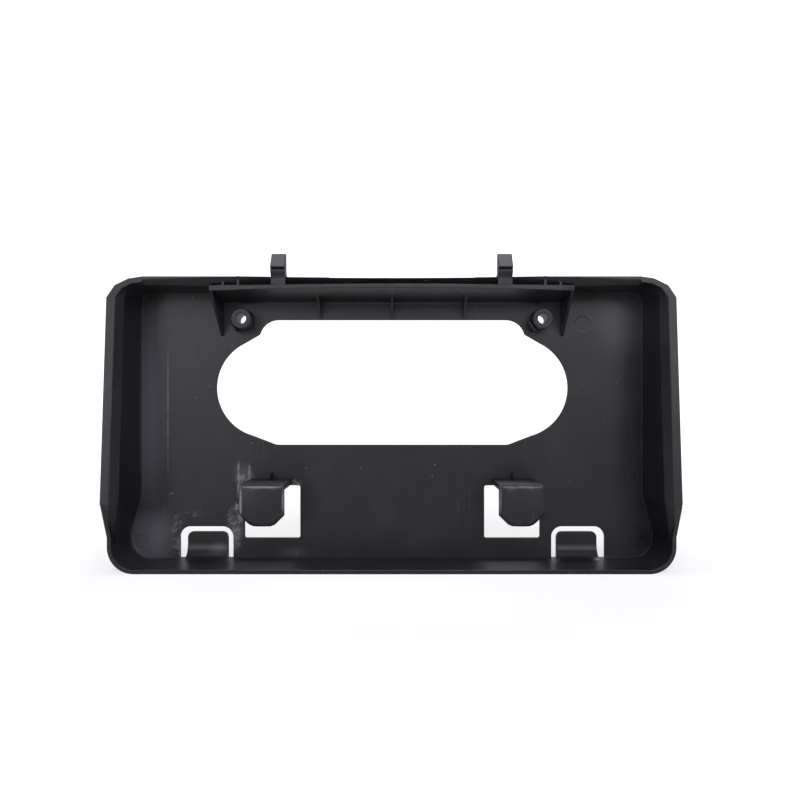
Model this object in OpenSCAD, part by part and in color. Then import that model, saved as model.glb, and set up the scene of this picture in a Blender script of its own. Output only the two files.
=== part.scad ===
// Number plate holder: one moulded tray with a flared lip, a stiffening shelf and snap hooks.
// The plate lies on the closed face. The open back fits over the bumper.
// It is drawn face down, as x across, y up and z as depth behind the plate face, then stood up.
// The origin is midway between the two plate screw holes, on the plate face.

/* [Number plate] */
// Distance between the two plate screw holes
screw_pitch = 177.8; // [150:0.1:200]
// Diameter of the screw holes
screw_hole_d = 6; // [4:0.1:8]
// Outside diameter of the screw bosses
boss_d = 11.8; // [10:0.1:16]
// Height of the screw bosses behind the plate face
boss_depth = 14.5; // [8:0.5:22]

/* [Tray] */
// Width across the straight side walls
tray_w = 307.6; // [290:0.2:330]
// Width across the flared lip and the lower corners
rim_w = 320; // [312:0.5:340]
// Height of the tray
tray_h = 165.1; // [158:0.1:180]
// From the tray's top down to the line of the screw holes
screw_drop = 19.2; // [16:0.1:24]
// Thickness of the panel
panel_t = 2.5; // [1.5:0.1:4]
// Thickness of the walls
wall_t = 2.5; // [1.5:0.1:4]
// Radius of the panel's top corners
top_corner_r = 8; // [4:0.5:12]
// Radius of the bottom corners
foot_corner_r = 15; // [8:0.5:22]
// Height of the wide lower corners
foot_h = 18.5; // [16:0.5:30]
// Height of the slope from the side walls out to the wide corners
foot_slope_h = 23; // [10:1:30]

/* [Rim] */
// Depth of the rim at the top corners
rim_top_depth = 32.5; // [28:0.5:40]
// Depth of the rim where the side walls are deepest
rim_side_depth = 42; // [36:0.5:50]
// Depth of the rim at the bottom wall
rim_foot_depth = 33; // [24:0.5:36]
// Height of the deepest point above the bottom
rim_peak_h = 40.5; // [34:1:60]
// Height over which the rim falls back to the bottom wall's depth
rim_fall_h = 20; // [8:1:30]
// Depth of the flared lip itself
lip_depth = 7; // [4:0.5:12]
// How far the lip rises above the tray's top
lip_rise = 2.3; // [0.5:0.1:6]
// Width and height of the lip's slanted top corners
lip_corner_w = 20; // [10:1:30]
lip_corner_h = 12; // [6:1:20]
// How much shallower the top rim is in its middle
rim_bow = 1.5; // [1:0.5:8]
// Depth of the slant inside the top rim, in its middle
rim_bevel = 3.5; // [1:0.5:5]

/* [Opening] */
// Radius of the opening's round ends
opening_r = 30; // [20:0.5:34]
// Distance between the centres of the round ends
opening_pitch = 152.8; // [120:0.1:160]
// Height of the opening in its middle
opening_h = 75.5; // [50:0.5:80]
// Opening's top edge above the line of the screw holes
opening_rise = 0.4; // [-4:0.1:1]
// Radius of the raised middle's corners
opening_corner_r = 11.5; // [6:0.5:14]
// Height from the opening's top edge down to the centres of its round ends
opening_end_drop = 41.1; // [36:0.1:44]
// Width of the panel left between a screw boss and the opening
boss_web = 2.5; // [1.5:0.1:6]

/* [Shelf] */
// Width of the shelf
shelf_w = 206.8; // [198:0.2:230]
// Height of the shelf's top at its edge, above the screw holes
shelf_rise = 16.9; // [13:0.1:17]
// Thickness of the shelf at its edge
shelf_t = 2.3; // [1.5:0.1:3.5]
// Thickness of the shelf at its root
shelf_root_t = 5; // [3:0.1:7]
// Depth of the shelf at its ends
shelf_end_depth = 30; // [24:0.5:36]
// How much deeper the shelf is in its middle
shelf_bow = 5.5; // [1:0.5:8]
// Thickness of the ribs
rib_t = 1.3; // [1:0.1:2.5]
// Thickness of the end plates
end_plate_t = 1.6; // [1:0.1:2.5]
// Distance of the outer ribs from the middle
rib_pitch = 43.3; // [30:0.1:55]
// Depth of the ribs at the shelf
rib_depth = 21.5; // [10:0.5:26]
// How far the end plates reach below the screw holes
end_plate_drop = 9.4; // [2:0.2:16]

/* [Top hooks] */
// Distance between the top hooks
top_hook_pitch = 128; // [90:1:150]
// Width of a top hook
top_hook_w = 8.2; // [6:0.1:14]
// Height of the top hooks above the shelf
top_hook_h = 18; // [10:0.5:22]
// How far the nose of a top hook stands out
top_hook_nose = 3; // [1:0.1:5]
// Distance of each pair of fins from the middle
fin_pitch = 91.1; // [84:0.1:96]
// Distance between the two fins of a pair
fin_gap = 8.8; // [4:0.1:10]

/* [Lower hooks] */
// Distance between the lower hooks
low_hook_pitch = 145; // [130:0.5:150]
// Width of a lower hook
low_hook_w = 25; // [16:0.5:28]
// Height of a lower hook's plate
low_hook_h = 23.5; // [14:0.5:28]
// Depth of the lower hooks behind the plate face
low_hook_depth = 36.5; // [28:0.5:42]
// Thickness of a lower hook
low_hook_t = 3; // [2:0.1:4]
// Width of the bevel round a lower hook's face
low_hook_bevel = 2; // [0.5:0.1:3]
// Width of the window behind a lower hook
window_w = 33.6; // [26:0.2:36]
// Height of that window
window_h = 31.7; // [26:0.1:36]
// Window's top edge below the screw holes
window_drop = 99.7; // [90:0.1:106]

/* [Spring tongues] */
// Distance between the tongues
tongue_pitch = 223; // [210:0.5:230]
// Width of a tongue
tongue_w = 24.4; // [16:0.2:28]
// Height of a tongue above the bottom wall
tongue_h = 15.8; // [10:0.1:22]
// Width of the slot over a tongue
slot_w = 3.1; // [2:0.1:4]
// Width of the slot on the outer side of a tongue
slot_outer_w = 4.8; // [3:0.1:6]

/* [Hidden] */
// Every part overlaps what carries it by this much
bite = 0.4;
// How far a cutter runs past what it cuts
past = 1;
tray_top = screw_drop;
tray_foot = tray_top - tray_h;
inner_foot = tray_foot + wall_t;
foot_top = tray_foot + foot_h;
slope_top = foot_top + foot_slope_h;
peak_y = tray_foot + rim_peak_h;
fall_y = peak_y - rim_fall_h;
// The lip follows the rim, which leans back towards the bottom
lean = atan((rim_side_depth - rim_top_depth) / (tray_top + lip_rise - peak_y));
opening_top = opening_rise;
opening_foot = opening_rise - opening_h;
opening_mid = opening_rise - opening_end_drop;
opening_top_w = screw_pitch - boss_d - 2 * boss_web;
// The opening's slanted edges end this far inside its round ends
opening_sink = 0.1;
opening_slope_top = 30;
opening_slope_foot = 20;
opening_foot_r = 6;
opening_foot_x = opening_pitch / 2 - 7.4;
shelf_mid_depth = shelf_end_depth + shelf_bow;
shelf_foot = shelf_rise - shelf_t;
low_hook_top = 4.4 - window_drop;
low_hook_chamfer = 6.2;
low_hook_rib_h = 3.8;
low_hook_rib_depth = 12;
low_hook_dome_r = 90;
low_hook_face_r = 13;
tongue_top = inner_foot + tongue_h;
tongue_r = 3.4;
tongue_fillet_r = 9;
window_r = 1.2;
fillet_r = 2;
fin_depth = 12;
// Straight runs in each half of the top rim's bow
rim_runs = 12;
boss_rib_l = 6.8;
boss_rib_depth = 11;
plastic = [0.13, 0.13, 0.14];

// Radius of an arc from the width across it and its rise
function arc_r(width, rise) = (width * width / 4 + rise * rise) / (2 * rise);

// Depth of the shelf's bowed edge at x
function shelf_edge(x) =
    let (r = arc_r(shelf_w, shelf_bow))
        shelf_mid_depth - r + sqrt(r * r - x * x);

// Turns a profile drawn as depth and height, and runs it across from x0 to x1
module across(x0, x1) {
    translate([x1, 0, 0])
        rotate([0, -90, 0])
            linear_extrude(x1 - x0)
                children();
}

// The same, centred on x with a width
module slab_at(x, width) {
    across(x - width / 2, x + width / 2)
        children();
}

// Both sides of the holder
module both_sides() {
    children();
    mirror([1, 0, 0])
        children();
}

module round_rect(width, low, high, r) {
    translate([-width / 2 + r, low])
        square([width - 2 * r, high - low]);
    translate([-width / 2, low + r])
        square([width, high - low - 2 * r]);
    for (x = [-1, 1])
        for (y = [low + r, high - r])
            translate([x * (width / 2 - r), y])
                circle(r, $fn = 48);
}

// Outline of the straight walls above the wide corners
module upper_outline(inset) {
    w = tray_w - 2 * inset;
    r = top_corner_r - inset;
    top = tray_top - inset;
    translate([-w / 2, foot_top])
        square([w, top - r - foot_top]);
    translate([-w / 2 + r, foot_top])
        square([w - 2 * r, top - foot_top]);
    for (x = [-1, 1])
        translate([x * (w / 2 - r), top - r])
            circle(r, $fn = 48);
}

// Outline of the lip at the rim
module lip_outline(inset) {
    w = rim_w / 2 - inset;
    top = tray_top + lip_rise - inset;
    polygon([
        [-w, foot_top],
        [w, foot_top],
        [w, top - lip_corner_h],
        [w - lip_corner_w * 0.22, top - lip_corner_h * 0.42],
        [w - lip_corner_w * 0.6, top - lip_corner_h * 0.1],
        [w - lip_corner_w, top],
        [lip_corner_w - w, top],
        [lip_corner_w * 0.6 - w, top - lip_corner_h * 0.1],
        [lip_corner_w * 0.22 - w, top - lip_corner_h * 0.42],
        [-w, top - lip_corner_h]
    ]);
}

// Outline of the wide lower corners
module foot_outline(inset) {
    w = rim_w - 2 * inset;
    low = tray_foot + inset;
    r = foot_corner_r - inset;
    translate([-w / 2, low + r])
        square([w, foot_top - low - r]);
    translate([-w / 2 + r, low])
        square([w - 2 * r, foot_top - low]);
    for (x = [-1, 1])
        translate([x * (w / 2 - r), low + r])
            circle(r, $fn = 64);
}

// Outline of the slope from the side walls out to the wide corners
module slope_outline(inset) {
    upper = tray_w / 2 - inset;
    lower = rim_w / 2 - inset;
    polygon([[-upper, slope_top], [upper, slope_top], [lower, foot_top], [-lower, foot_top]]);
}

// Sets a thin slice at a depth, leaning with the rim
module leaning(depth) {
    translate([0, tray_top + lip_rise, depth])
        rotate([-lean, 0, 0])
            translate([0, -tray_top - lip_rise, 0])
                children();
}

// The end of the flared lip, which follows the falling rim down to the wide corners
module lip_tail(inset) {
    upper = tray_w / 2 - inset;
    wide = rim_w / 2 - inset;
    deep = rim_side_depth + past;
    fall = rim_side_depth + lip_depth - rim_foot_depth;
    drop = peak_y - foot_top;
    tilt = atan(fall / drop);
    lip = lip_depth * cos(tilt);
    intersection() {
        translate([0, peak_y, rim_side_depth - lip_depth + bite])
            rotate([90 + tilt, 0, 0])
                translate([0, 0, -deep])
                    linear_extrude(2 * deep + drop)
                        polygon([
                            [-upper, 0],
                            [upper, 0],
                            [wide, lip],
                            [wide, deep],
                            [-wide, deep],
                            [-wide, lip]
                        ]);
        translate([-wide - past, foot_top, 0])
            cube([2 * (wide + past), drop + 2 * past, deep]);
    }
}

// The whole tray as one block, or its hollow when it is inset by a wall
module tray_form(inset) {
    fold = rim_top_depth - lip_depth;
    deep = rim_side_depth + past;
    linear_extrude(deep)
        foot_outline(inset);
    linear_extrude(deep)
        slope_outline(inset);
    linear_extrude(fold)
        upper_outline(inset);
    lip_tail(inset);
    hull() {
        linear_extrude(fold / 2)
            upper_outline(inset);
        leaning(fold)
            linear_extrude(0.01)
                upper_outline(inset);
    }
    hull() {
        leaning(fold)
            linear_extrude(0.01)
                upper_outline(inset);
        leaning(rim_top_depth)
            linear_extrude(inset > 0 ? past : 0.01)
                lip_outline(inset);
    }
}

// What lies beyond the rim, seen from the side
module beyond_rim() {
    far = rim_side_depth + 20;
    slab_at(0, rim_w + 2 * past)
        polygon([
            [rim_top_depth, tray_top + lip_rise + past],
            [rim_top_depth, tray_top + lip_rise],
            [rim_side_depth, peak_y],
            [rim_foot_depth, fall_y],
            [rim_foot_depth, tray_foot - past],
            [far, tray_foot - past],
            [far, tray_top + lip_rise + past]
        ]);
}

// The slant inside the top rim, which bows its edge and runs out towards the corners.
// Its long shallow arc is drawn with short straight runs.
module rim_bevel_cut() {
    tilt = 45;
    half = rim_w / 2 - lip_corner_w;
    edge = tray_top + lip_rise * (1 - rim_bow / lip_depth);
    r = arc_r(2 * half, (rim_bow + rim_bevel * 0.4) * cos(tilt));
    translate([0, edge, rim_top_depth - rim_bow])
        rotate([90 + tilt, 0, 0])
            translate([0, 0, -2 * wall_t])
                linear_extrude(2 * wall_t + (rim_bevel + past) / cos(tilt))
                    polygon(concat(
                        [for (i = [-rim_runs:rim_runs])
                            let (x = i / rim_runs * half) [x, r - sqrt(r * r - x * x)]],
                        [[half, rim_side_depth], [-half, rim_side_depth]]
                    ));
}

module tray() {
    difference() {
        tray_form(0);
        translate([0, 0, panel_t])
            tray_form(wall_t);
        beyond_rim();
        rim_bevel_cut();
    }
}

// Where an edge that slopes by this angle runs into a round end
function end_tangent(slope, up) =
    let (r = opening_r - opening_sink)
        [opening_pitch / 2 + r * sin(slope), opening_mid + up * r * cos(slope)];

// One half of the middle opening
module opening_half() {
    top = end_tangent(opening_slope_top, 1);
    foot = end_tangent(opening_slope_foot, -1);
    top_x = top[0] - (opening_top - top[1]) / tan(opening_slope_top);
    foot_y = opening_foot + opening_foot_r;
    translate([opening_pitch / 2, opening_mid])
        circle(opening_r, $fn = 96);
    translate([opening_foot_x, foot_y])
        circle(opening_foot_r, $fn = 48);
    translate([opening_top_w / 2 - opening_corner_r, opening_top - opening_corner_r])
        circle(opening_corner_r, $fn = 64);
    polygon([
        [-past, opening_foot],
        [opening_foot_x, opening_foot],
        [opening_foot_x + opening_foot_r * sin(opening_slope_foot),
            foot_y - opening_foot_r * cos(opening_slope_foot)],
        foot,
        [opening_pitch / 2, opening_mid],
        top,
        [top_x, opening_top],
        [-past, opening_top]
    ]);
    translate([-past, opening_top - opening_corner_r])
        square([past + opening_top_w / 2 - opening_corner_r, opening_corner_r]);
}

module opening() {
    linear_extrude(panel_t + past, center = true)
        both_sides()
            opening_half();
}

// Plate, boss and rib round one screw hole, without the hole
module boss() {
    translate([screw_pitch / 2, 0, panel_t - bite])
        cylinder(h = boss_depth - panel_t + bite, d = boss_d, $fn = 64);
}

// Short rib beside a boss
module boss_rib(side) {
    translate([side * screw_pitch / 2, 0, panel_t - bite])
        rotate([0, 0, -145])
            translate([boss_d / 2 + rib_t / 4, -boss_rib_l / 2, 0])
                cube([rib_t * 0.8, boss_rib_l, boss_rib_depth - panel_t + bite]);
}

// Shelf's profile, with a round fillet under its root
module shelf_profile() {
    root = shelf_rise - bite;
    low = root - shelf_root_t;
    difference() {
        union() {
            polygon([
                [panel_t - bite, root],
                [panel_t - bite, low],
                [panel_t, low],
                [shelf_mid_depth + past, shelf_foot],
                [shelf_mid_depth + past, shelf_rise],
                [panel_t, root]
            ]);
            translate([panel_t - bite, low - fillet_r])
                square([fillet_r + bite, fillet_r + bite]);
        }
        translate([panel_t + fillet_r, low - fillet_r])
            circle(fillet_r, $fn = 48);
    }
}

// Block that trims the shelf to its bowed edge
module shelf_bow_form() {
    r = arc_r(shelf_w, shelf_bow);
    translate([0, tray_top, shelf_mid_depth - r])
        rotate([90, 0, 0])
            cylinder(h = tray_h, r = r, $fn = 360);
}

module shelf() {
    intersection() {
        slab_at(0, shelf_w)
            shelf_profile();
        shelf_bow_form();
    }
}

// Slanting rib between the shelf and the opening's edge
module shelf_rib(x) {
    slab_at(x, rib_t)
        polygon([
            [panel_t - bite, shelf_rise - shelf_t],
            [panel_t - bite, opening_top + bite],
            [panel_t + 0.6, opening_top + bite],
            [rib_depth, shelf_foot - 0.6],
            [rib_depth, shelf_rise - shelf_t]
        ]);
}

// End plate that closes one end of the shelf
module end_plate() {
    slab_at((shelf_w - end_plate_t) / 2, end_plate_t)
        polygon([
            [panel_t - bite, shelf_rise - shelf_t],
            [panel_t - bite, -end_plate_drop],
            [panel_t + 0.5, -end_plate_drop],
            [shelf_end_depth, shelf_foot - 0.4],
            [shelf_end_depth, shelf_rise],
            [panel_t, shelf_rise - bite]
        ]);
}

// Snap hook over the top wall, with a slanted nose
module top_hook() {
    front = shelf_mid_depth - 4;
    top = shelf_rise + top_hook_h;
    slab_at(top_hook_pitch / 2, top_hook_w)
        polygon([
            [front - 11, shelf_rise - shelf_t],
            [front - 1, shelf_rise - shelf_t],
            [front, shelf_rise],
            [front, shelf_rise + top_hook_h * 0.27],
            [front + top_hook_nose * 0.6, shelf_rise + top_hook_h * 0.4],
            [front + top_hook_nose * 0.6, shelf_rise + top_hook_h * 0.46],
            [front + top_hook_nose * 0.4, shelf_rise + top_hook_h * 0.49],
            [front + top_hook_nose, shelf_rise + top_hook_h * 0.54],
            [front - 2.2, top],
            [front - 4, top],
            [front - 5, shelf_rise + top_hook_h * 0.4],
            [front - 11, tray_top + lip_rise - 0.5]
        ]);
}

// Thin fin that stands across the gap between the shelf and the top wall
module fin(x) {
    near = shelf_edge(x) - bite;
    slab_at(x, rib_t)
        polygon([
            [fin_depth, shelf_rise - shelf_t],
            [near, shelf_rise - shelf_t],
            [near, tray_top + lip_rise + bite],
            [fin_depth + 8, tray_top + lip_rise + bite],
            [fin_depth, tray_top - wall_t / 2]
        ]);
}

// Outline of a lower hook's plate, with its lower corners cut off
module low_hook_outline() {
    w = low_hook_w / 2;
    low = low_hook_top - low_hook_h;
    c = low_hook_chamfer;
    polygon([
        [-w, low_hook_top],
        [-w, low + c],
        [c - w, low],
        [w - c, low],
        [w, low + c],
        [w, low_hook_top]
    ]);
}

// Where a lower hook's face is bevelled: round below, and straight at the sides and the top
module low_hook_bevels() {
    w = low_hook_w / 2;
    b = low_hook_bevel;
    fall = b * 0.6;
    back = low_hook_depth - low_hook_t - past;
    mid = low_hook_top - low_hook_h * 0.35;
    intersection() {
        union() {
            translate([0, mid, back])
                cylinder(h = low_hook_t + past, r1 = low_hook_face_r + low_hook_t + past,
                    r2 = low_hook_face_r, $fn = 96);
            translate([-w - past, mid, back])
                cube([2 * (w + past), low_hook_h, low_hook_t + past]);
        }
        translate([0, low_hook_top + past, 0])
            rotate([90, 0, 0])
                linear_extrude(low_hook_h + 2 * past)
                    polygon([
                        [-w, back],
                        [-w, low_hook_depth - fall],
                        [b - w, low_hook_depth],
                        [w - b, low_hook_depth],
                        [w, low_hook_depth - fall],
                        [w, back]
                    ]);
        slab_at(0, low_hook_w + past)
            polygon([
                [back, low_hook_top],
                [low_hook_depth - fall, low_hook_top],
                [low_hook_depth, low_hook_top - b],
                [low_hook_depth, low_hook_top - low_hook_h - past],
                [back, low_hook_top - low_hook_h - past]
            ]);
    }
}

// Plate of a lower hook, with a softly domed face inside its bevels
module low_hook_plate() {
    intersection() {
        translate([0, 0, low_hook_depth - low_hook_t])
            linear_extrude(low_hook_t)
                low_hook_outline();
        low_hook_bevels();
        translate([0, low_hook_top - low_hook_h * 0.4, low_hook_depth - low_hook_dome_r])
            sphere(low_hook_dome_r, $fn = 96);
    }
}

// Hook over a window: a short shelf out of the panel, and a plate that hangs from it
module low_hook() {
    translate([low_hook_pitch / 2, 0, 0]) {
        slab_at(0, low_hook_w)
            polygon([
                [panel_t - bite, low_hook_top],
                [panel_t - bite, low_hook_top - low_hook_t],
                [low_hook_depth - low_hook_t * 0.7, low_hook_top - low_hook_t],
                [low_hook_depth - low_hook_t * 0.7, low_hook_top]
            ]);
        low_hook_plate();
        slab_at(0, rib_t * 0.8)
            polygon([
                [panel_t - bite, low_hook_top - bite],
                [panel_t - bite, low_hook_top + low_hook_rib_h],
                [panel_t, low_hook_top + low_hook_rib_h],
                [low_hook_rib_depth, low_hook_top - bite]
            ]);
    }
}

// Window in the panel behind a lower hook
module window() {
    translate([low_hook_pitch / 2, 0, 0])
        linear_extrude(panel_t + past, center = true)
            round_rect(window_w, -window_drop - window_h, -window_drop, window_r);
}

// Shape with round upper corners, down to the bottom wall
module arch(left, right, top, r) {
    translate([left, inner_foot])
        square([right - left, top - r - inner_foot]);
    translate([left + r, inner_foot])
        square([right - left - 2 * r, top - inner_foot]);
    for (x = [left + r, right - r])
        translate([x, top - r])
            circle(r, $fn = 48);
}

// Slot round a tongue, with a wider outer leg
module tongue_slot() {
    inner = (tongue_pitch - tongue_w) / 2;
    outer = (tongue_pitch + tongue_w) / 2;
    linear_extrude(panel_t + past, center = true)
        difference() {
            arch(inner - slot_w, outer + slot_outer_w, tongue_top + slot_w, tongue_r + slot_w);
            arch(inner, outer, tongue_top, tongue_r);
        }
}

// Round fillet that leads a tongue's foot up the bottom wall
module tongue_foot() {
    r = tongue_fillet_r;
    slab_at(tongue_pitch / 2, tongue_w)
        difference() {
            translate([panel_t - bite, inner_foot - bite])
                square([r + bite, r + bite]);
            translate([panel_t + r, inner_foot + r])
                circle(r, $fn = 64);
        }
}

module screw_hole() {
    translate([screw_pitch / 2, 0, -past])
        cylinder(h = boss_depth + 2 * past, d = screw_hole_d, $fn = 64);
}

module plate_holder() {
    color(plastic)
        rotate([90, 0, 0])
            difference() {
                union() {
                    difference() {
                        tray();
                        translate([0, 0, panel_t / 2])
                            opening();
                        translate([0, 0, panel_t / 2])
                            both_sides() {
                                window();
                                tongue_slot();
                            }
                    }
                    shelf();
                    for (x = [-rib_pitch, 0, rib_pitch])
                        shelf_rib(x);
                    both_sides() {
                        boss();
                        end_plate();
                        top_hook();
                        fin(fin_pitch - fin_gap / 2);
                        fin(fin_pitch + fin_gap / 2);
                        low_hook();
                        tongue_foot();
                    }
                    boss_rib(-1);
                    boss_rib(1);
                }
                both_sides()
                    screw_hole();
            }
}

plate_holder();
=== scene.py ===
"""A number plate holder in moulded black plastic, dressed and lit for a plain studio picture.

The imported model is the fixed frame: metres, X across, Z up, and the open back towards -Y, where
the camera stands. The origin is midway between the two plate screw holes on the plate face.
"""

from __future__ import annotations

import logging
import math
from dataclasses import dataclass, field
from enum import Enum
from typing import Any

import bmesh
import bpy
import numpy as np
from mathutils import Euler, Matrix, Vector
from mathutils.bvhtree import BVHTree

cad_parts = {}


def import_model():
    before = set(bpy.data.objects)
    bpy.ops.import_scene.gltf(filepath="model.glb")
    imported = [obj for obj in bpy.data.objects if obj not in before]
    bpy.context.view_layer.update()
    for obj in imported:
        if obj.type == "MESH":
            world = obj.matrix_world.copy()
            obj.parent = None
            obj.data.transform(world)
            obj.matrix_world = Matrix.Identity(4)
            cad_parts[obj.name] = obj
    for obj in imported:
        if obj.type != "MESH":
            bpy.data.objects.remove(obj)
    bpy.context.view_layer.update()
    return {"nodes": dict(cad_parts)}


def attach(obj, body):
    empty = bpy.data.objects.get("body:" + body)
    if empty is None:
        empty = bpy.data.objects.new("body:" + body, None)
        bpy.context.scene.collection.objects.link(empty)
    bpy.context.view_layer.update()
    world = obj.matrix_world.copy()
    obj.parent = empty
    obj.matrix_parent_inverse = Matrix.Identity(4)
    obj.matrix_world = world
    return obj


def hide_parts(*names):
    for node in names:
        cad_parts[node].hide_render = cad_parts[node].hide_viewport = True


LOG = logging.getLogger("plate_holder")
MM = 0.001
NODE = "plate_holder"
BODY = "root"
# Depth of the panel's inner face behind the plate face
PANEL_INNER_Y = -2.5 * MM
FLOOR_Z = -145.9 * MM


def linear(hex_colour: str) -> tuple[float, float, float, float]:
    """Turns an sRGB hex colour into the linear colour that the shaders take.

    Args:
        hex_colour: Six hex digits with a leading hash.

    Returns:
        Linear red, green and blue, and an alpha of 1.
    """
    digits = hex_colour.lstrip("#")
    parts = [int(digits[i : i + 2], 16) / 255 for i in (0, 2, 4)]
    toned = [c / 12.92 if c <= 0.04045 else ((c + 0.055) / 1.055) ** 2.4 for c in parts]
    return (toned[0], toned[1], toned[2], 1.0)


def add_node(
    tree: bpy.types.NodeTree,
    kind: str,
    values: dict[Any, Any] | None = None,
    links: dict[Any, Any] | None = None,
    **settings: Any,
) -> bpy.types.Node:
    """Adds one shader node with its settings, its fixed values and its incoming links.

    Args:
        tree: The node tree that takes the node.
        kind: Blender's name for the node type.
        values: Socket name or index, and the value it holds.
        links: Socket name or index, and the output that feeds it.
        **settings: Attributes of the node itself, such as operation.

    Returns:
        The new node.
    """
    node = tree.nodes.new(kind)
    for name, value in settings.items():
        setattr(node, name, value)
    for key, value in (values or {}).items():
        node.inputs[key].default_value = value
    for key, source in (links or {}).items():
        tree.links.new(source, node.inputs[key])
    return node


def plain_to_see(
    tree: bpy.types.NodeTree, camera_share: bpy.types.NodeSocket | float, gloss_share: float
) -> bpy.types.NodeSocket:
    """Adds the share of plain white that a ray sees over the lit background.

    Args:
        tree: The node tree that takes the nodes.
        camera_share: Share for the camera's rays.
        gloss_share: Share for the rays that gloss and clear pieces send out.

    Returns:
        The share, and 0 for rays that only carry light.
    """
    rays = add_node(tree, "ShaderNodeLightPath")
    values = {}
    links = {0: rays.outputs["Is Camera Ray"]}
    if isinstance(camera_share, float):
        values[1] = camera_share
    else:
        links[1] = camera_share
    seen = add_node(tree, "ShaderNodeMath", values, links, operation="MULTIPLY")
    either = add_node(
        tree,
        "ShaderNodeMath",
        links={0: rays.outputs["Is Glossy Ray"], 1: rays.outputs["Is Transmission Ray"]},
        operation="MAXIMUM",
    )
    part = add_node(
        tree,
        "ShaderNodeMath",
        {1: gloss_share},
        {0: either.outputs["Value"], 2: seen.outputs["Value"]},
        operation="MULTIPLY_ADD",
    )
    return part.outputs["Value"]


def object_from(mesh: bmesh.types.BMesh, name: str) -> bpy.types.Object:
    """Puts a finished bmesh into a new object at the origin, and frees the bmesh.

    Args:
        mesh: The shape, already in its place in the frame.
        name: Name for the object and its mesh.

    Returns:
        The new object, linked to the scene.
    """
    data = bpy.data.meshes.new(name)
    mesh.to_mesh(data)
    mesh.free()
    made = bpy.data.objects.new(name, data)
    bpy.context.scene.collection.objects.link(made)
    return made


class Tone(Enum):
    """Lamp colours, as sRGB hex."""

    NEUTRAL = "#ffffff"
    COOL = "#f8f3ff"


class MarkKind(Enum):
    """Kinds of marks on the moulding: marks that moulding and handling leave, painted glare and
    painted highlights.

    Each value says where such a mark starts and where it is full, from 0 at its rim to 1 in
    its middle.
    """

    # Broad pale patches of painted glare
    PAINTED_GLARE = (0.0, 0.9)
    # Pale scuffs, in part painted glare
    SCUFF_AND_GLARE = (0.05, 0.55)
    # Thin pale lines of painted highlight along edges
    HIGHLIGHT_LINE = (0.0, 0.6)
    # The step between these two is the ring that an ejector pin leaves
    PIN = (0.44, 0.56)


@dataclass(frozen=True)
class Mark:
    """One mark on the panel or on a lower hook, in millimetres across and up."""

    kind: MarkKind
    x: float
    z: float
    half_w: float
    half_h: float
    strength: float = 1.0
    # Distance from the plate face, which is the panel's thickness for a mark on the panel
    depth: float = 2.5


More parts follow.
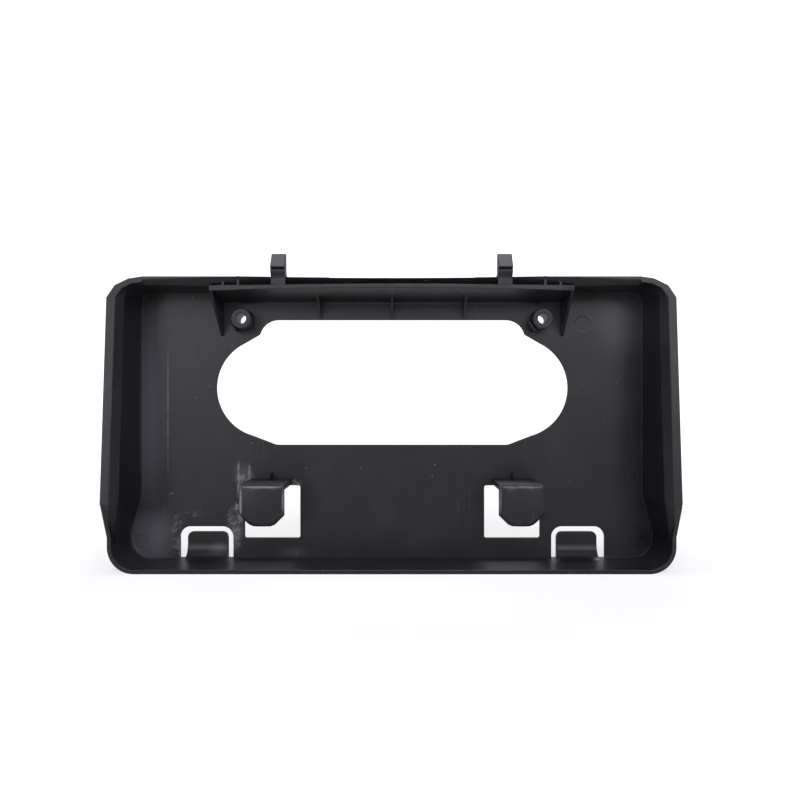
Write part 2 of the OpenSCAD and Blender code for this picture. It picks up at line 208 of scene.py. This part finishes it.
@dataclass(frozen=True)
class MouldedPlastic:
    """Black polypropylene, injection moulded in a tool with a fine spark-eroded texture.

    The tool's texture makes it satin: a soft sheen without sharp reflections. Beside the hooks
    and slots lie pale scuffs that are in part painted glare, with broad patches of painted glare
    and thin pale lines of painted highlight along the hooks' edges; dust lies all over, and the
    ejector pins leave faint rings.
    """

    name: str = "moulded_black_polypropylene"
    body: str = "#19191c"
    worn: str = "#232327"
    # Colour of the painted glare patches
    painted_glare: str = "#5e5e64"
    # Pale colour of the rubs, of the painted glare in the scuffs and of the painted highlight
    # lines
    rubbed_and_highlight: str = "#9c9ca0"
    dust: str = "#a9a7a2"
    ior: float = 1.49
    roughness: float = 0.38
    # Texture of the tool, drawn coarser than its real 0.15 mm so that it shows
    grain_mm: float = 0.7
    cloud_mm: float = 28.0
    streak_mm: float = 1.6
    mottle_mm: float = 3.2
    patch_mm: float = 42.0
    speck_mm: float = 9.0
    # Depth over which a mark fades out
    mark_depth_mm: float = 6.0
    # Depths in the panel between which the marks come in, so that the plate face has none
    inside_mm: tuple[float, float] = (1.0, 2.0)
    # Levels of the noise between which each pattern comes in
    worn_fade: tuple[float, float] = (0.35, 0.75)
    scuff_and_glare_fade: tuple[float, float] = (0.42, 0.66)
    highlight_line_fade: tuple[float, float] = (0.2, 0.6)
    streak_fade: tuple[float, float] = (0.6, 0.75)
    patch_fade: tuple[float, float] = (0.48, 0.62)
    # A speck's edge and its full middle, as shares of the distance between specks
    speck_fade: tuple[float, float] = (0.035, 0.02)
    # Streaks are drawn out upwards by the inverse of this, and lean a little
    streak_squash: float = 0.06
    streak_lean: float = math.radians(4.0)
    streak_share: float = 0.16
    rub_and_highlight_share: float = 0.85
    # The cloudy parts are a little glossier and a little duller than the rest
    gloss_spread: tuple[float, float] = (-0.05, 0.07)
    # Strength and height of the relief
    pin_relief: tuple[float, float] = (0.8, 0.25 * MM)
    grain_relief: tuple[float, float] = (0.12, 0.05 * MM)
    marks: tuple[Mark, ...] = (
        # The broad pale patches are painted glare, the scuffs are in part painted glare, and the
        # thin lines are painted highlights along edges
        Mark(MarkKind.PAINTED_GLARE, -149.0, -131.0, 24.0, 26.0, 1.0),
        Mark(MarkKind.PAINTED_GLARE, -148.0, -58.0, 15.0, 86.0, 0.85),
        Mark(MarkKind.PAINTED_GLARE, 138.0, 0.0, 24.0, 28.0, 0.3),
        Mark(MarkKind.PAINTED_GLARE, -95.0, -127.0, 7.0, 16.0, 0.7),
        Mark(MarkKind.PAINTED_GLARE, -90.0, -93.0, 9.0, 10.0, 0.5),
        Mark(MarkKind.SCUFF_AND_GLARE, -130.0, -130.0, 5.0, 17.0, 0.5),
        Mark(MarkKind.SCUFF_AND_GLARE, -95.5, -126.0, 6.5, 17.0, 0.7),
        Mark(MarkKind.SCUFF_AND_GLARE, -92.5, -116.0, 4.0, 12.0, 0.9),
        Mark(MarkKind.SCUFF_AND_GLARE, -61.0, -98.4, 8.0, 3.2, 0.8),
        Mark(MarkKind.SCUFF_AND_GLARE, -119.0, -117.0, 12.0, 2.6, 0.25),
        Mark(MarkKind.PAINTED_GLARE, -105.0, -138.0, 8.0, 6.0, 0.5),
        Mark(MarkKind.PAINTED_GLARE, -60.0, -140.0, 12.0, 5.0, 0.35),
        Mark(MarkKind.HIGHLIGHT_LINE, -93.0, -92.0, 0.9, 9.0, 0.9),
        Mark(MarkKind.HIGHLIGHT_LINE, -86.4, -93.0, 1.2, 8.0, 0.7),
        Mark(MarkKind.HIGHLIGHT_LINE, -135.7, -54.0, 0.5, 50.0, 0.5),
        Mark(MarkKind.HIGHLIGHT_LINE, -133.6, -104.5, 2.2, 0.6, 0.4),
        Mark(MarkKind.PIN, -152.0, -134.0, 4.6, 4.6, 1.0),
        Mark(MarkKind.PIN, 153.0, -135.0, 4.6, 4.6, 0.6),
        Mark(MarkKind.PIN, 115.0, -2.0, 4.6, 4.6, 0.8),
        Mark(MarkKind.SCUFF_AND_GLARE, 116.5, -6.9, 2.4, 0.8, 1.0),
        Mark(MarkKind.PIN, -118.0, 3.0, 4.6, 4.6, 0.4),
        # These trace painted highlights along the edges of the lower hooks' plates
        Mark(MarkKind.HIGHLIGHT_LINE, -84.2, -105.0, 1.0, 11.0, 1.0, 35.5),
        Mark(MarkKind.HIGHLIGHT_LINE, -72.5, -96.6, 15.0, 0.9, 0.7, 35.5),
        Mark(MarkKind.HIGHLIGHT_LINE, -60.6, -104.5, 0.9, 9.0, 0.6, 35.5),
        Mark(MarkKind.HIGHLIGHT_LINE, 60.6, -104.5, 0.9, 9.0, 0.5, 35.5),
        Mark(MarkKind.HIGHLIGHT_LINE, 72.5, -96.6, 15.0, 0.9, 0.5, 35.5),
        Mark(MarkKind.SCUFF_AND_GLARE, -91.0, -103.0, 4.0, 12.0, 1.0),
        Mark(MarkKind.SCUFF_AND_GLARE, -88.0, -96.0, 9.0, 4.0, 0.8),
    )

    def build(self) -> bpy.types.Material:
        """Makes the material.

        Returns:
            The material, ready to be assigned.
        """
        made = bpy.data.materials.new(self.name)
        made.use_nodes = True
        tree = made.node_tree
        tree.nodes.clear()
        place = add_node(tree, "ShaderNodeTexCoord").outputs["Object"]
        clouds = add_node(
            tree,
            "ShaderNodeTexNoise",
            {"Scale": 1 / (self.cloud_mm * MM), "Detail": 4.0, "Roughness": 0.6},
            {"Vector": place},
        ).outputs["Fac"]
        inside = self._inside(tree, place)
        tone = self._plain_tone(tree, clouds)
        # Painted glare first, then the pale rubs with their painted glare and painted highlights,
        # then dust
        layers = (
            (self.painted_glare, self._marked(tree, place, inside, MarkKind.PAINTED_GLARE)),
            (self.rubbed_and_highlight, self._rubs_and_highlights(tree, place, inside)),
            (self.dust, self._specks(tree, place)),
        )
        for colour, share in layers:
            mixed = add_node(
                tree,
                "ShaderNodeMix",
                {"B": linear(colour)},
                {"A": tone, "Factor": share},
                data_type="RGBA",
            )
            tone = mixed.outputs["Result"]
        pins = self._marked(tree, place, inside, MarkKind.PIN)
        self._finish(tree, place, tone, clouds, pins)
        return made

    def _plain_tone(
        self, tree: bpy.types.NodeTree, clouds: bpy.types.NodeSocket
    ) -> bpy.types.NodeSocket:
        """Mixes the plastic's own colour with its slightly worn one, in soft clouds."""
        start, full = self.worn_fade
        share = add_node(
            tree,
            "ShaderNodeMapRange",
            {"From Min": start, "From Max": full},
            {"Value": clouds},
            interpolation_type="SMOOTHSTEP",
        )
        mixed = add_node(
            tree,
            "ShaderNodeMix",
            {"A": linear(self.body), "B": linear(self.worn)},
            {"Factor": share.outputs["Result"]},
            data_type="RGBA",
        )
        return mixed.outputs["Result"]

    def _inside(
        self, tree: bpy.types.NodeTree, place: bpy.types.NodeSocket
    ) -> bpy.types.NodeSocket:
        """Returns 1 behind the panel's inner face and 0 at the plate face."""
        start, full = self.inside_mm
        along = add_node(tree, "ShaderNodeSeparateXYZ", links={"Vector": place})
        behind = add_node(
            tree,
            "ShaderNodeMapRange",
            {"From Min": -start * MM, "From Max": -full * MM},
            {"Value": along.outputs["Y"]},
            interpolation_type="SMOOTHSTEP",
        )
        return behind.outputs["Result"]

    def _marked(
        self,
        tree: bpy.types.NodeTree,
        place: bpy.types.NodeSocket,
        inside: bpy.types.NodeSocket,
        kind: MarkKind,
    ) -> bpy.types.NodeSocket:
        """Gathers all marks of one kind.

        Args:
            tree: The material's node tree.
            place: Object coordinates.
            inside: 1 behind the panel's inner face and 0 at the plate face.
            kind: The kind of mark.

        Returns:
            The strength of the marks, and 0 elsewhere.
        """
        start, full = kind.value
        # A pin's ring stands halfway between its middle and the mark's rim
        reach = 2.0 if kind is MarkKind.PIN else 1.0
        whole = None
        for mark in self.marks:
            if mark.kind is not kind:
                continue
            middle = (mark.x * MM, -mark.depth * MM, mark.z * MM)
            half = (mark.half_w * reach * MM, self.mark_depth_mm * MM, mark.half_h * reach * MM)
            moved = add_node(
                tree,
                "ShaderNodeMapping",
                {"Location": middle, "Scale": half},
                {"Vector": place},
                vector_type="TEXTURE",
            )
            ball = add_node(
                tree,
                "ShaderNodeTexGradient",
                links={"Vector": moved.outputs["Vector"]},
                gradient_type="SPHERICAL",
            )
            faded = add_node(
                tree,
                "ShaderNodeMapRange",
                {"From Min": start, "From Max": full, "To Max": mark.strength},
                {"Value": ball.outputs["Fac"]},
                interpolation_type="SMOOTHSTEP",
            )
            shown = faded.outputs["Result"]
            if whole is not None:
                most = add_node(
                    tree, "ShaderNodeMath", links={0: whole, 1: shown}, operation="MAXIMUM"
                )
                shown = most.outputs["Value"]
            whole = shown
        kept = add_node(
            tree, "ShaderNodeMath", links={0: inside, 1: whole}, operation="MULTIPLY"
        )
        return kept.outputs["Value"]

    def _rubs_and_highlights(
        self,
        tree: bpy.types.NodeTree,
        place: bpy.types.NodeSocket,
        inside: bpy.types.NodeSocket,
    ) -> bpy.types.NodeSocket:
        """Gathers streaks, scuffs that are in part painted glare, and painted highlight lines,
        the last two broken up by the grain.

        Args:
            tree: The material's node tree.
            place: Object coordinates.
            inside: 1 behind the panel's inner face and 0 at the plate face.

        Returns:
            How much of the pale colour shows, for the rubs and the painted highlights.
        """
        mottle = add_node(
            tree,
            "ShaderNodeTexNoise",
            {"Scale": 1 / (self.mottle_mm * MM), "Detail": 4.0, "Roughness": 0.7},
            {"Vector": place},
        )
        worn = self._streaks(tree, place)
        # worn gathers the streaks, the scuffs with their painted glare, and the painted highlight
        # lines
        kinds = ((MarkKind.SCUFF_AND_GLARE, self.scuff_and_glare_fade), (MarkKind.HIGHLIGHT_LINE, self.highlight_line_fade))
        for kind, (start, full) in kinds:
            broken = add_node(
                tree,
                "ShaderNodeMapRange",
                {"From Min": start, "From Max": full},
                {"Value": mottle.outputs["Fac"]},
                interpolation_type="SMOOTHSTEP",
            )
            marks = self._marked(tree, place, inside, kind)
            part = add_node(
                tree,
                "ShaderNodeMath",
                links={0: marks, 1: broken.outputs["Result"]},
                operation="MULTIPLY",
            )
            most = add_node(
                tree,
                "ShaderNodeMath",
                links={0: worn, 1: part.outputs["Value"]},
                operation="MAXIMUM",
            )
            worn = most.outputs["Value"]
        share = add_node(
            tree, "ShaderNodeMath", {1: self.rub_and_highlight_share}, {0: worn}, operation="MULTIPLY"
        )
        return share.outputs["Value"]

    def _streaks(
        self, tree: bpy.types.NodeTree, place: bpy.types.NodeSocket
    ) -> bpy.types.NodeSocket:
        """Adds fine pale upright streaks in patches."""
        turned = add_node(
            tree,
            "ShaderNodeMapping",
            {
                "Scale": (1.0, 1.0, self.streak_squash),
                "Rotation": (0.0, self.streak_lean, 0.0),
            },
            {"Vector": place},
        )
        lines = add_node(
            tree,
            "ShaderNodeTexNoise",
            {"Scale": 1 / (self.streak_mm * MM), "Detail": 3.0, "Roughness": 0.7},
            {"Vector": turned.outputs["Vector"]},
        )
        patches = add_node(
            tree,
            "ShaderNodeTexNoise",
            {"Scale": 1 / (self.patch_mm * MM), "Detail": 2.0, "Roughness": 0.5},
            {"Vector": place},
        )
        sharp = add_node(
            tree,
            "ShaderNodeMapRange",
            {
                "From Min": self.streak_fade[0],
                "From Max": self.streak_fade[1],
                "To Max": self.streak_share,
            },
            {"Value": lines.outputs["Fac"]},
            interpolation_type="SMOOTHSTEP",
        )
        patchy = add_node(
            tree,
            "ShaderNodeMapRange",
            {"From Min": self.patch_fade[0], "From Max": self.patch_fade[1]},
            {"Value": patches.outputs["Fac"]},
            interpolation_type="SMOOTHSTEP",
        )
        both = add_node(
            tree,
            "ShaderNodeMath",
            links={0: sharp.outputs["Result"], 1: patchy.outputs["Result"]},
            operation="MULTIPLY",
        )
        return both.outputs["Value"]

    def _specks(
        self, tree: bpy.types.NodeTree, place: bpy.types.NodeSocket
    ) -> bpy.types.NodeSocket:
        """Adds scattered dust specks, and returns 1 on them and 0 elsewhere."""
        cells = add_node(
            tree,
            "ShaderNodeTexVoronoi",
            {"Scale": 1 / (self.speck_mm * MM), "Randomness": 1.0},
            {"Vector": place},
        )
        near = add_node(
            tree,
            "ShaderNodeMapRange",
            {"From Min": self.speck_fade[0], "From Max": self.speck_fade[1]},
            {"Value": cells.outputs["Distance"]},
        )
        return near.outputs["Result"]

    def _finish(
        self,
        tree: bpy.types.NodeTree,
        place: bpy.types.NodeSocket,
        tone: bpy.types.NodeSocket,
        clouds: bpy.types.NodeSocket,
        pins: bpy.types.NodeSocket,
    ) -> None:
        """Joins colour, gloss and relief into one shader.

        Args:
            tree: The material's node tree.
            place: Object coordinates.
            tone: The finished colour.
            clouds: Soft noise that varies the gloss.
            pins: 1 inside the rings of the ejector pins and 0 elsewhere.
        """
        low, high = self.gloss_spread
        gloss = add_node(
            tree,
            "ShaderNodeMapRange",
            {"To Min": self.roughness + low, "To Max": self.roughness + high},
            {"Value": clouds},
        )
        sunk = add_node(
            tree,
            "ShaderNodeBump",
            {"Strength": self.pin_relief[0], "Distance": self.pin_relief[1]},
            {"Height": pins},
            invert=True,
        )
        grain = add_node(
            tree,
            "ShaderNodeTexNoise",
            {"Scale": 1 / (self.grain_mm * MM), "Detail": 2.0, "Roughness": 0.6},
            {"Vector": place},
        )
        relief = add_node(
            tree,
            "ShaderNodeBump",
            {"Strength": self.grain_relief[0], "Distance": self.grain_relief[1]},
            {"Height": grain.outputs["Fac"], "Normal": sunk.outputs["Normal"]},
        )
        surface = add_node(
            tree,
            "ShaderNodeBsdfPrincipled",
            {"IOR": self.ior, "Metallic": 0.0},
            {
                "Base Color": tone,
                "Roughness": gloss.outputs["Result"],
                "Normal": relief.outputs["Normal"],
            },
        )
        add_node(
            tree, "ShaderNodeOutputMaterial", links={"Surface": surface.outputs["BSDF"]}
        )


@dataclass(frozen=True)
class StudioPaper:
    """Matt white paper. The camera sees it near white, and it still takes the soft shadow."""

    name: str = "matt_white_studio_paper"
    colour: str = "#dcdcdc"
    # Round the object half of what the camera sees is lit paper, which keeps the shadow, and
    # further off nearly all of it is plain white
    near_m: float = 0.2
    far_m: float = 0.8
    near_share: float = 0.5
    far_share: float = 0.95
    gloss_share: float = 0.1
    # Strength of that white, which just brings the open floor up to white
    shown: float = 1.33

    def build(self) -> bpy.types.Material:
        """Makes the material.

        Returns:
            The material, ready to be assigned.
        """
        made = bpy.data.materials.new(self.name)
        made.use_nodes = True
        tree = made.node_tree
        tree.nodes.clear()
        place = add_node(tree, "ShaderNodeTexCoord").outputs["Object"]
        away = add_node(tree, "ShaderNodeVectorMath", links={0: place}, operation="LENGTH")
        share = add_node(
            tree,
            "ShaderNodeMapRange",
            {
                "From Min": self.near_m,
                "From Max": self.far_m,
                "To Min": self.near_share,
                "To Max": self.far_share,
            },
            {"Value": away.outputs["Value"]},
        )
        part = plain_to_see(tree, share.outputs["Result"], self.gloss_share)
        paper = add_node(
            tree,
            "ShaderNodeBsdfDiffuse",
            {"Color": linear(self.colour), "Roughness": 1.0},
        )
        glow = add_node(
            tree,
            "ShaderNodeEmission",
            {"Color": linear("#ffffff"), "Strength": self.shown},
        )
        mixed = add_node(
            tree,
            "ShaderNodeMixShader",
            links={
                0: part,
                1: paper.outputs["BSDF"],
                2: glow.outputs["Emission"],
            },
        )
        add_node(
            tree, "ShaderNodeOutputMaterial", links={"Surface": mixed.outputs["Shader"]}
        )
        return made


@dataclass
class EdgeRadii:
    """The small radii that the tool leaves on a moulding's edges.

    A radius is left out where the shape is too fine for it and it would turn a face over.
    """

    radius_mm: float = 0.45
    segments: int = 3
    # An edge that turns by less than this stays as it is
    least_turn: float = math.radians(28.0)
    # An edge that still turns by more than this afterwards is shaded as a crease
    crease_turn: float = math.radians(42.0)
    tries: int = 5
    first_reach_mm: float = 0.3
    reach_step_mm: float = 0.3
    # A face with more corners than this is one of the moulding's own
    small_face: int = 8
    # A face smaller than this, in square metres, has no sure direction
    least_area: float = 1e-11
    # A face has turned over where its normal meets the moulding's own by less than this
    turned_over: float = -0.1
    # Runs below this, in square metres, are parallel or have no length
    least_square: float = 1e-16
    # Share at each end of an edge where touching another edge isn't crossing it
    end_share: float = 1e-6
    weights: str = "bevel_weight_edge"

    def mark(self, shape: bmesh.types.BMesh) -> None:
        """Marks every sharp edge of the shape for its radius."""
        layer = shape.edges.layers.float.new(self.weights)
        for edge in shape.edges:
            edge[layer] = float(edge.calc_face_angle(0.0) > self.least_turn)

    def apply(self, made: bpy.types.Object) -> None:
        """Rounds the marked edges, and drops the marks where that spoils a face.

        Args:
            made: The moulding, whose mesh has its edges marked.
        """
        bevel = made.modifiers.new("moulded_edges", "BEVEL")
        bevel.limit_method = "WEIGHT"
        bevel.width = self.radius_mm * MM
        bevel.segments = self.segments
        bevel.profile = 0.5
        bevel.use_clamp_overlap = False
        bevel.loop_slide = False
        bevel.harden_normals = False
        bevel.material = -1
        bevel.face_strength_mode = "FSTR_ALL"
        spots = [vertex.co.copy() for vertex in made.data.vertices]
        faces = [tuple(face.vertices) for face in made.data.polygons]
        surface = BVHTree.FromPolygons(spots, faces)
        known = self._own_crossings(made.data)
        for turn in range(self.tries):
            bpy.context.view_layer.update()
            graph = bpy.context.evaluated_depsgraph_get()
            rounded = made.evaluated_get(graph)
            faults = self._faults(rounded.to_mesh(), surface, known)
            rounded.to_mesh_clear()
            reach = (self.radius_mm + self.first_reach_mm + self.reach_step_mm * turn) * MM
            dropped = self._drop(made.data, faults, reach)
            LOG.info("edge radii %d: %d faults, %d edges kept sharp", turn, len(faults), dropped)
            if not dropped:
                break
        graph = bpy.context.evaluated_depsgraph_get()
        rounded = bpy.data.meshes.new_from_object(made.evaluated_get(graph))
        made.modifiers.clear()
        made.data = rounded
        self._crease(rounded)
        shading = made.modifiers.new("flat_faces_stay_flat", "WEIGHTED_NORMAL")
        shading.mode = "FACE_AREA"
        shading.weight = 50
        shading.keep_sharp = True
        shading.use_face_influence = True

    def _crease(self, mesh: bpy.types.Mesh) -> None:
        """Keeps the shading apart across every edge that is still sharp."""
        shape = bmesh.new()
        shape.from_mesh(mesh)
        for edge in shape.edges:
            if edge.calc_face_angle(0.0) > self.crease_turn:
                edge.smooth = False
        shape.to_mesh(mesh)
        shape.free()

    def _own_crossings(self, mesh: bpy.types.Mesh) -> list[Vector]:
        """Finds where the moulding's own outlines cross before any radius is added."""
        found = []
        for face in mesh.polygons:
            found.extend(self._crossings(mesh, face))
        return found

    def _faults(
        self, rounded: bpy.types.Mesh, surface: BVHTree, known: list[Vector]
    ) -> list[Vector]:
        """Finds the places where the radii turned a face over or made its outline cross.

        Args:
            rounded: The mesh with its radii.
            surface: The moulding before its radii.
            known: Crossings that the moulding had before its radii.

        Returns:
            One point for each fault.
        """
        found = []
        rounded.calc_loop_triangles()
        corners = rounded.vertices
        for piece in rounded.loop_triangles:
            face = rounded.polygons[piece.polygon_index]
            if piece.area < self.least_area or len(face.vertices) > self.small_face:
                continue
            middle = sum((corners[i].co for i in piece.vertices), Vector()) / 3
            way = surface.find_nearest(middle)[1]
            if piece.normal.dot(way) < self.turned_over:
                found.extend(corners[i].co.copy() for i in piece.vertices)
        for face in rounded.polygons:
            for spot in self._crossings(rounded, face):
                if all((spot - other).length > MM for other in known):
                    found.append(spot)
        return found

    def _crossings(self, mesh: bpy.types.Mesh, face: bpy.types.MeshPolygon) -> list[Vector]:
        """Finds where the outline of one face crosses itself, seen square to the face."""
        ring = np.array([mesh.vertices[i].co for i in face.vertices])
        if len(ring) < 4 or face.area < self.least_area:
            return []
        normal = np.array(face.normal)
        rough = np.eye(3)[int(np.argmin(np.abs(normal)))]
        side = np.cross(normal, rough)
        side /= np.linalg.norm(side)
        flat = ring @ np.stack([side, np.cross(normal, side)], axis=1)
        run = np.roll(flat, -1, axis=0) - flat
        gap = flat[None, :, :] - flat[:, None, :]
        area = run[:, None, 0] * run[None, :, 1] - run[:, None, 1] * run[None, :, 0]
        area[np.abs(area) < self.least_square] = np.inf
        along = (gap[:, :, 0] * run[None, :, 1] - gap[:, :, 1] * run[None, :, 0]) / area
        other = (gap[:, :, 0] * run[:, None, 1] - gap[:, :, 1] * run[:, None, 0]) / area
        low = self.end_share
        inside = (along > low) & (along < 1 - low) & (other > low) & (other < 1 - low)
        count = len(ring)
        found = []
        for first, second in np.argwhere(np.triu(inside, 2)):
            if (first, second) != (0, count - 1):
                step = ring[(first + 1) % count] - ring[first]
                found.append(Vector(ring[first] + step * along[first, second]))
        return found

    def _drop(self, mesh: bpy.types.Mesh, faults: list[Vector], reach: float) -> int:
        """Takes the mark off every edge within reach of a fault, and returns how many."""
        if not faults:
            return 0
        spots = np.array(faults)
        marks = mesh.attributes[self.weights].data
        dropped = 0
        for edge in mesh.edges:
            if marks[edge.index].value == 0.0:
                continue
            start, end = (np.array(mesh.vertices[i].co) for i in edge.vertices)
            run = end - start
            share = (spots - start) @ run / max(run @ run, self.least_square)
            share = np.clip(share, 0.0, 1.0)
            near = start + share[:, None] * run
            if np.linalg.norm(near - spots, axis=1).min() < reach:
                marks[edge.index].value = 0.0
                edge.use_edge_sharp = True
                dropped += 1
        mesh.update()
        return dropped


@dataclass
class Holder:
    """The moulding itself, with the small edge radii that the tool leaves."""

    name: str = "plate_holder_moulding"
    # Vertices closer than this are one, and edges shorter than this go
    weld_mm: float = 0.05
    flat_angle: float = math.radians(0.6)
    radii: EdgeRadii = field(default_factory=EdgeRadii)

    def build(self, node: bpy.types.Object) -> bpy.types.Object:
        """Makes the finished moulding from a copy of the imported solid.

        Args:
            node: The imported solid, which stays as it is.

        Returns:
            The finished piece.
        """
        shape = bmesh.new()
        shape.from_mesh(node.data)
        weld = self.weld_mm * MM
        bmesh.ops.remove_doubles(shape, verts=shape.verts, dist=weld)
        bmesh.ops.dissolve_degenerate(shape, dist=weld, edges=shape.edges)
        bmesh.ops.dissolve_limit(
            shape, angle_limit=self.flat_angle, verts=shape.verts, edges=shape.edges
        )
        shape.normal_update()
        for face in shape.faces:
            face.smooth = True
        self.radii.mark(shape)
        made = object_from(shape, self.name)
        self.radii.apply(made)
        return made

    def dress(self, made: bpy.types.Object, finish: bpy.types.Material) -> None:
        """Gives the piece its finish and its place in the frame."""
        made.data.materials.clear()
        made.data.materials.append(finish)
        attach(made, BODY)
        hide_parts(NODE)


@dataclass(frozen=True)
class Lamp:
    """One soft lamp, which the camera can't see."""

    name: str
    place: tuple[float, float, float]
    size: tuple[float, float]
    watts: float
    tone: Tone

    def hang(self, aim: tuple[float, float, float]) -> None:
        """Hangs the lamp so that it points at the aim."""
        data = bpy.data.lights.new(self.name, "AREA")
        data.shape = "RECTANGLE"
        data.size, data.size_y = self.size
        data.energy = self.watts
        data.color = linear(self.tone.value)[:3]
        lamp = bpy.data.objects.new(self.name, data)
        lamp.location = self.place
        lamp.visible_camera = False
        way = Vector(aim) - Vector(self.place)
        lamp.rotation_euler = way.to_track_quat("-Z", "Y").to_euler()
        bpy.context.scene.collection.objects.link(lamp)


@dataclass
class Studio:
    """A white paper sweep, soft lamps and the camera at the photograph's viewing angle."""

    paper_w: float = 6.0
    paper_front: float = -3.0
    paper_back: float = 1.3
    paper_h: float = 3.0
    paper_bend: float = 0.6
    bend_segments: int = 24
    # The camera stands this far from the panel's inner face
    camera_gap: float = 0.42
    camera_x: float = 4.7 * MM
    camera_z: float = -48.0 * MM
    # Width of the view at the panel's inner face
    view_w: float = 0.484
    sensor_w: float = 36.0
    lamps: tuple[Lamp, ...] = (
        Lamp("front", (0.08, -1.25, 0.48), (1.6, 0.6), 7.8, Tone.COOL),
        Lamp("left", (-0.58, -0.95, 0.05), (0.26, 0.34), 1.1, Tone.COOL),
        Lamp("right", (0.62, -1.0, 0.2), (0.26, 0.26), 0.7, Tone.COOL),
        Lamp("overhead", (0.0, -0.16, 1.05), (0.6, 0.3), 6.2, Tone.COOL),
        Lamp("rear", (0.3, 0.95, 1.1), (0.9, 0.6), 10.0, Tone.NEUTRAL),
    )
    aim: tuple[float, float, float] = (0.0, 0.0, -0.05)
    world_strength: float = 0.12
    world_gloss_share: float = 0.05

    def build(self, paper: bpy.types.Material) -> None:
        """Sets up the paper, the lamps, the world and the camera."""
        self._sweep(paper)
        for lamp in self.lamps:
            lamp.hang(self.aim)
        self._world()
        self._camera()

    def _sweep(self, paper: bpy.types.Material) -> None:
        """Lays the paper as a floor that bends up into a backdrop."""
        shape = bmesh.new()
        front = [
            shape.verts.new((x, self.paper_front, FLOOR_Z))
            for x in (-self.paper_w / 2, self.paper_w / 2)
        ]
        edge = shape.edges.new(front)
        grown = bmesh.ops.extrude_edge_only(shape, edges=[edge])
        moved = [g for g in grown["geom"] if isinstance(g, bmesh.types.BMVert)]
        depth = self.paper_back - self.paper_front
        bmesh.ops.translate(shape, verts=moved, vec=(0.0, depth, 0.0))
        fold = [g for g in grown["geom"] if isinstance(g, bmesh.types.BMEdge)]
        fold = [e for e in fold if all(v in moved for v in e.verts)]
        risen = bmesh.ops.extrude_edge_only(shape, edges=fold)
        lifted = [g for g in risen["geom"] if isinstance(g, bmesh.types.BMVert)]
        bmesh.ops.translate(shape, verts=lifted, vec=(0.0, 0.0, self.paper_h))
        bmesh.ops.bevel(
            shape,
            geom=fold,
            offset=self.paper_bend,
            offset_type="OFFSET",
            affect="EDGES",
            segments=self.bend_segments,
            profile=0.5,
            material=-1,
        )
        bmesh.ops.recalc_face_normals(shape, faces=shape.faces)
        for face in shape.faces:
            face.smooth = True
        made = object_from(shape, "paper_sweep")
        made.data.materials.append(paper)

    def _world(self) -> None:
        """Sets the plain soft light that comes from all round, behind plain white."""
        world = bpy.data.worlds.new("studio_room")
        world.use_nodes = True
        tree = world.node_tree
        tree.nodes.clear()
        part = plain_to_see(tree, 1.0, self.world_gloss_share)
        strength = add_node(
            tree,
            "ShaderNodeMapRange",
            {"To Min": self.world_strength, "To Max": 1.0},
            {"Value": part},
        )
        room = add_node(
            tree,
            "ShaderNodeBackground",
            {"Color": linear("#ffffff")},
            {"Strength": strength.outputs["Result"]},
        )
        add_node(
            tree, "ShaderNodeOutputWorld", links={"Surface": room.outputs["Background"]}
        )
        bpy.context.scene.world = world

    def _camera(self) -> None:
        """Stands the camera square to the panel, as the photograph shows it."""
        data = bpy.data.cameras.new("camera")
        data.sensor_width = self.sensor_w
        data.lens = self.sensor_w * self.camera_gap / self.view_w
        camera = bpy.data.objects.new("camera", data)
        camera.location = (
            self.camera_x,
            PANEL_INNER_Y - self.camera_gap,
            self.camera_z,
        )
        camera.rotation_euler = Euler((math.radians(90.0), 0.0, 0.0))
        bpy.context.scene.collection.objects.link(camera)
        bpy.context.scene.camera = camera


def main() -> None:
    """Builds the dressed holder and its studio."""
    logging.basicConfig(level=logging.INFO, format="%(name)s: %(message)s")
    bpy.context.scene.view_settings.view_transform = "Standard"
    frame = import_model()
    plastic = MouldedPlastic().build()
    holder = Holder()
    moulding = holder.build(frame["nodes"][NODE])
    holder.dress(moulding, plastic)
    LOG.info("moulding: %d faces with its edges rounded", len(moulding.data.polygons))
    studio = Studio()
    studio.build(StudioPaper().build())
    LOG.info("studio: paper, camera and %d lamps", len(studio.lamps))


if __name__ == "__main__":
    main()
